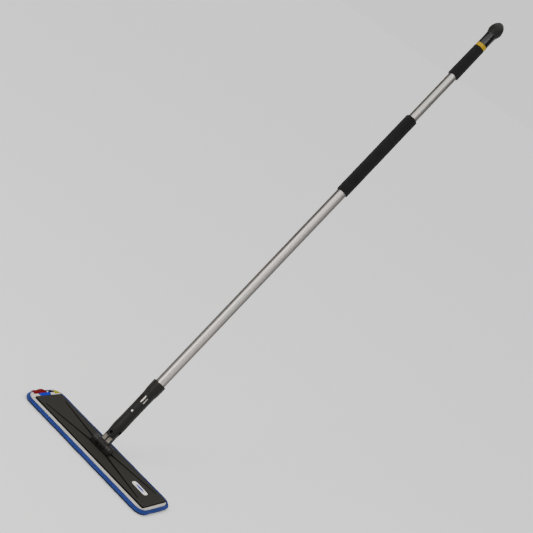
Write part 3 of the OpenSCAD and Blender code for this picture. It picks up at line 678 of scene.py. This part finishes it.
def make_pad_backing():
    """The pale woven cover: flat under the plate, drawn up a little along its edge seam."""
    rings = []
    insets = [0, 0.6, 1.4, 2.4, 3.6, 5, 6.6, 8.4, 10.4, 12.6, 16, 22, 30, 40, 50, 57]
    for inset in (value * MM for value in insets):
        corner = max(INNER_CORNER - inset, 0.5 * MM)
        rings.append(pad_ring(BACK_HALF.x - 0.2 * MM - inset, BACK_HALF.y - 0.2 * MM - inset, corner))
    lengths = running_length(rings[0])
    points = []
    for ring, inset in zip(rings, insets):
        border = max(0.0, 1 - inset / 11)
        for index, (place, outward) in enumerate(ring):
            pucker = math.sin(2 * math.pi * lengths[index] / (8.5 * MM))
            wander = noise.noise(Vector((place.x, place.y, 4)) * 38)
            crown = math.sin(math.pi * min(1.0, inset / 11))
            height = PAD_TOP - 0.25 * MM + 0.55 * MM * crown * border + 0.35 * MM * crown * wander
            height += 0.14 * MM * pucker * border * math.sin(math.pi * min(1, inset / 5))
            if inset < 0.5:
                height -= 0.3 * MM
            points.append(Vector((place.x, place.y, height)))
    around = len(rings[0])
    faces = ring_faces(len(rings), around)
    last = len(points) - around
    faces.append(tuple(range(last, last + around)))
    sheet = new_piece("pad_backing_cloth", points, faces, "backing", "head")
    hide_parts("pad_backing")


def make_edge_stitches():
    """Overlock thread that binds the backing to the blue roll, and a running seam inside it."""
    outer = pad_ring(BACK_HALF.x + 1.8 * MM, BACK_HALF.y + 1.8 * MM, INNER_CORNER + 1.8 * MM)
    inner = pad_ring(BACK_HALF.x - 2.2 * MM, BACK_HALF.y - 2.2 * MM, INNER_CORNER - 2.2 * MM)
    strokes = []
    for index in range(0, len(outer), 4):
        start = inner[index][0]
        end = outer[(index + 2) % len(outer)][0]
        path = []
        for step in range(5):
            share = step / 4
            place = start.lerp(end, share)
            rise = PAD_TOP + 0.25 * MM + 0.55 * MM * math.sin(math.pi * share) - 0.3 * MM * share
            path.append(Vector((place.x, place.y, rise)))
        strokes.append(stroke(path, 0.28 * MM, sides=5))
    points, faces = joined(strokes)
    overlock = new_piece("pad_overlock", points, faces, "blue_thread", "head")

    line = pad_ring(BACK_HALF.x - 3.4 * MM, BACK_HALF.y - 3.4 * MM, INNER_CORNER - 3.4 * MM)
    strokes = []
    for index in range(0, len(line) - 3, 4):
        path = []
        for step in range(4):
            place = line[index + step][0]
            rise = PAD_TOP + (0.5 + 0.3 * math.sin(math.pi * step / 3)) * MM
            path.append(Vector((place.x, place.y, rise)))
        strokes.append(stroke(path, 0.3 * MM, sides=6))
    points, faces = joined(strokes)
    seam = new_piece("pad_running_seam", points, faces, "thread", "head")
    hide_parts("pad_seam")


make_pad_pile()
make_pad_backing()
make_edge_stitches()

# ---------------------------------------------------------------- colour tabs


RIBBON_THICK = 0.7 * MM
RIBBON_LIFT = 0.1 * MM
CREST = 3 * MM
BEND_FROM = 0.45


def bulge(share, humps):
    """Height of a few soft humps along a ribbon's length."""
    return sum(height * math.exp(-((share - middle) / width) ** 2) for middle, width, height in humps)


def make_tab(name, inward, humps, drop, taper, seed):
    """A folded ribbon from the seam: bulged and crumpled, and bent down over the roll when it
    points outwards. The far end narrows by taper."""
    low, high = [Vector(corner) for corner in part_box(name)]
    root, end = (low.x, high.x) if inward else (high.x, low.x)
    length, middle_y = high.y - low.y, (high.y + low.y) / 2
    along, rows = 30, 12
    points = []
    for step in range(along + 1):
        share = step / along
        hump = bulge(share, humps)
        width = 1 - taper * share ** 2 + 0.25 * hump / CREST
        for row in range(rows + 1):
            free = row / rows
            fold = noise.noise(Vector((share * 3.1 + seed, free * 1.8, seed)))
            x = root + (end - root) * free * width
            z = low.z + RIBBON_LIFT + hump * math.sin(math.pi * min(1.0, free ** 0.85)) ** 0.8
            z += 0.8 * MM * fold * free - drop * max(0.0, free - BEND_FROM) ** 1.5
            y = middle_y + length * (share - 0.5) * (1 - 0.12 * free)
            points.append(Vector((x, y, max(z, low.z + RIBBON_LIFT - drop))))
    faces = []
    for step in range(along):
        for row in range(rows):
            first = step * (rows + 1) + row
            faces.append((first, first + 1, first + rows + 2, first + rows + 1))
    tab = new_piece(f"{name}_ribbon", points, faces, name, "head")
    thick = tab.modifiers.new("ribbon", "SOLIDIFY")
    thick.thickness = RIBBON_THICK
    thick.offset = 1.0
    smooth = tab.modifiers.new("round", "SUBSURF")
    smooth.levels = smooth.render_levels = 1
    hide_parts(name)


make_tab("tab_red", False, ((0.25, 0.2, 1.6 * MM), (0.74, 0.2, 3.6 * MM)), 9 * MM, 0.1, 1.7)
make_tab("tab_blue", True, ((0.8, 0.3, 2.6 * MM),), 0.0, 0.1, 4.4)
make_tab("tab_green", False, ((0.5, 0.4, 1.0 * MM),), 8 * MM, 0.1, 2.6)
make_tab("tab_yellow", False, ((0.4, 0.35, 1.8 * MM),), 8 * MM, 0.5, 5.9)

# ---------------------------------------------------------------- stage, light and camera

# Brightness of the world at rising heights, from the horizon at 0 to overhead at 1
SKY = ((0.0, 1.02), (0.13, 1.02), (0.2, 0.1), (0.5, 0.1), (0.66, 1.75), (1.0, 1.75))
FLOOR_HALF = 60.0


def make_floor():
    """Pale floor that runs out to where it meets the equally pale horizon of the world."""
    corners = [(x * FLOOR_HALF, y * FLOOR_HALF, 0) for x, y in ((-1, -1), (1, -1), (1, 1), (-1, 1))]
    mesh = bpy.data.meshes.new("floor")
    mesh.from_pydata(corners, [], [(0, 1, 2, 3)])
    floor = bpy.data.objects.new("floor", mesh)
    bpy.context.scene.collection.objects.link(floor)
    look = Look("pale_floor", (0.9, 0.9, 0.9), 0.8, Specular_IOR_Level=0.1)
    look.rough(look.spread(look.noise(look.place((1, 1, 1)), 3.0), 0.75, 0.9))
    mesh.materials.append(look.material)


def make_world():
    """Overhead soft light, a dark band at shoulder height, and a horizon as bright as the floor."""
    world = bpy.data.worlds.new("studio")
    world.use_nodes = True
    nodes, links = world.node_tree.nodes, world.node_tree.links
    direction = nodes.new("ShaderNodeTexCoord").outputs["Generated"]
    parts = nodes.new("ShaderNodeSeparateXYZ")
    links.new(direction, parts.inputs["Vector"])
    ramp = nodes.new("ShaderNodeValToRGB")
    elements = ramp.color_ramp.elements
    while len(elements) < len(SKY):
        elements.new(0.5)
    for element, (position, level) in zip(elements, SKY):
        element.position = position
        element.color = (level, level, level, 1)
    links.new(parts.outputs["Z"], ramp.inputs["Fac"])
    background = nodes["Background"]
    links.new(ramp.outputs["Color"], background.inputs["Color"])
    background.inputs["Strength"].default_value = 1.0
    bpy.context.scene.world = world


def area_light(name, place, aim, size, power, colour=(1, 1, 1)):
    lamp = bpy.data.lights.new(name, "AREA")
    lamp.shape = "RECTANGLE"
    lamp.size, lamp.size_y = size
    lamp.energy = power
    lamp.color = colour
    holder = bpy.data.objects.new(name, lamp)
    holder.location = place
    holder.rotation_euler = (Vector(aim) - Vector(place)).to_track_quat("-Z", "Y").to_euler()
    bpy.context.scene.collection.objects.link(holder)


def make_lamps():
    area_light("key", (-0.9, -3.4, 2.3), (0, 0.25, 0.65), (1.6, 2.2), 70, (1.0, 0.96, 0.92))
    area_light("strip", (2.0, -1.7, 2.8), (0, 0.35, 0.9), (0.2, 3.8), 19, (0.94, 0.97, 1.0))


def make_camera():
    """At the height and side of a standing viewer, rolled so that the handle runs corner to corner."""
    place = Vector((1.0894, -2.1936, 1.2502))
    aim = Vector((0.0, 0.2172, 0.5736))
    roll = math.radians(33.87)
    data = bpy.data.cameras.new("camera")
    data.sensor_width = 36.0
    data.lens = 74.81
    camera = bpy.data.objects.new("camera", data)
    level = (aim - place).to_track_quat("-Z", "Y").to_matrix().to_4x4()
    camera.matrix_world = Matrix.Translation(place) @ level @ Matrix.Rotation(roll, 4, "Z")
    bpy.context.scene.collection.objects.link(camera)
    bpy.context.scene.camera = camera


make_floor()
make_world()
make_lamps()
make_camera()
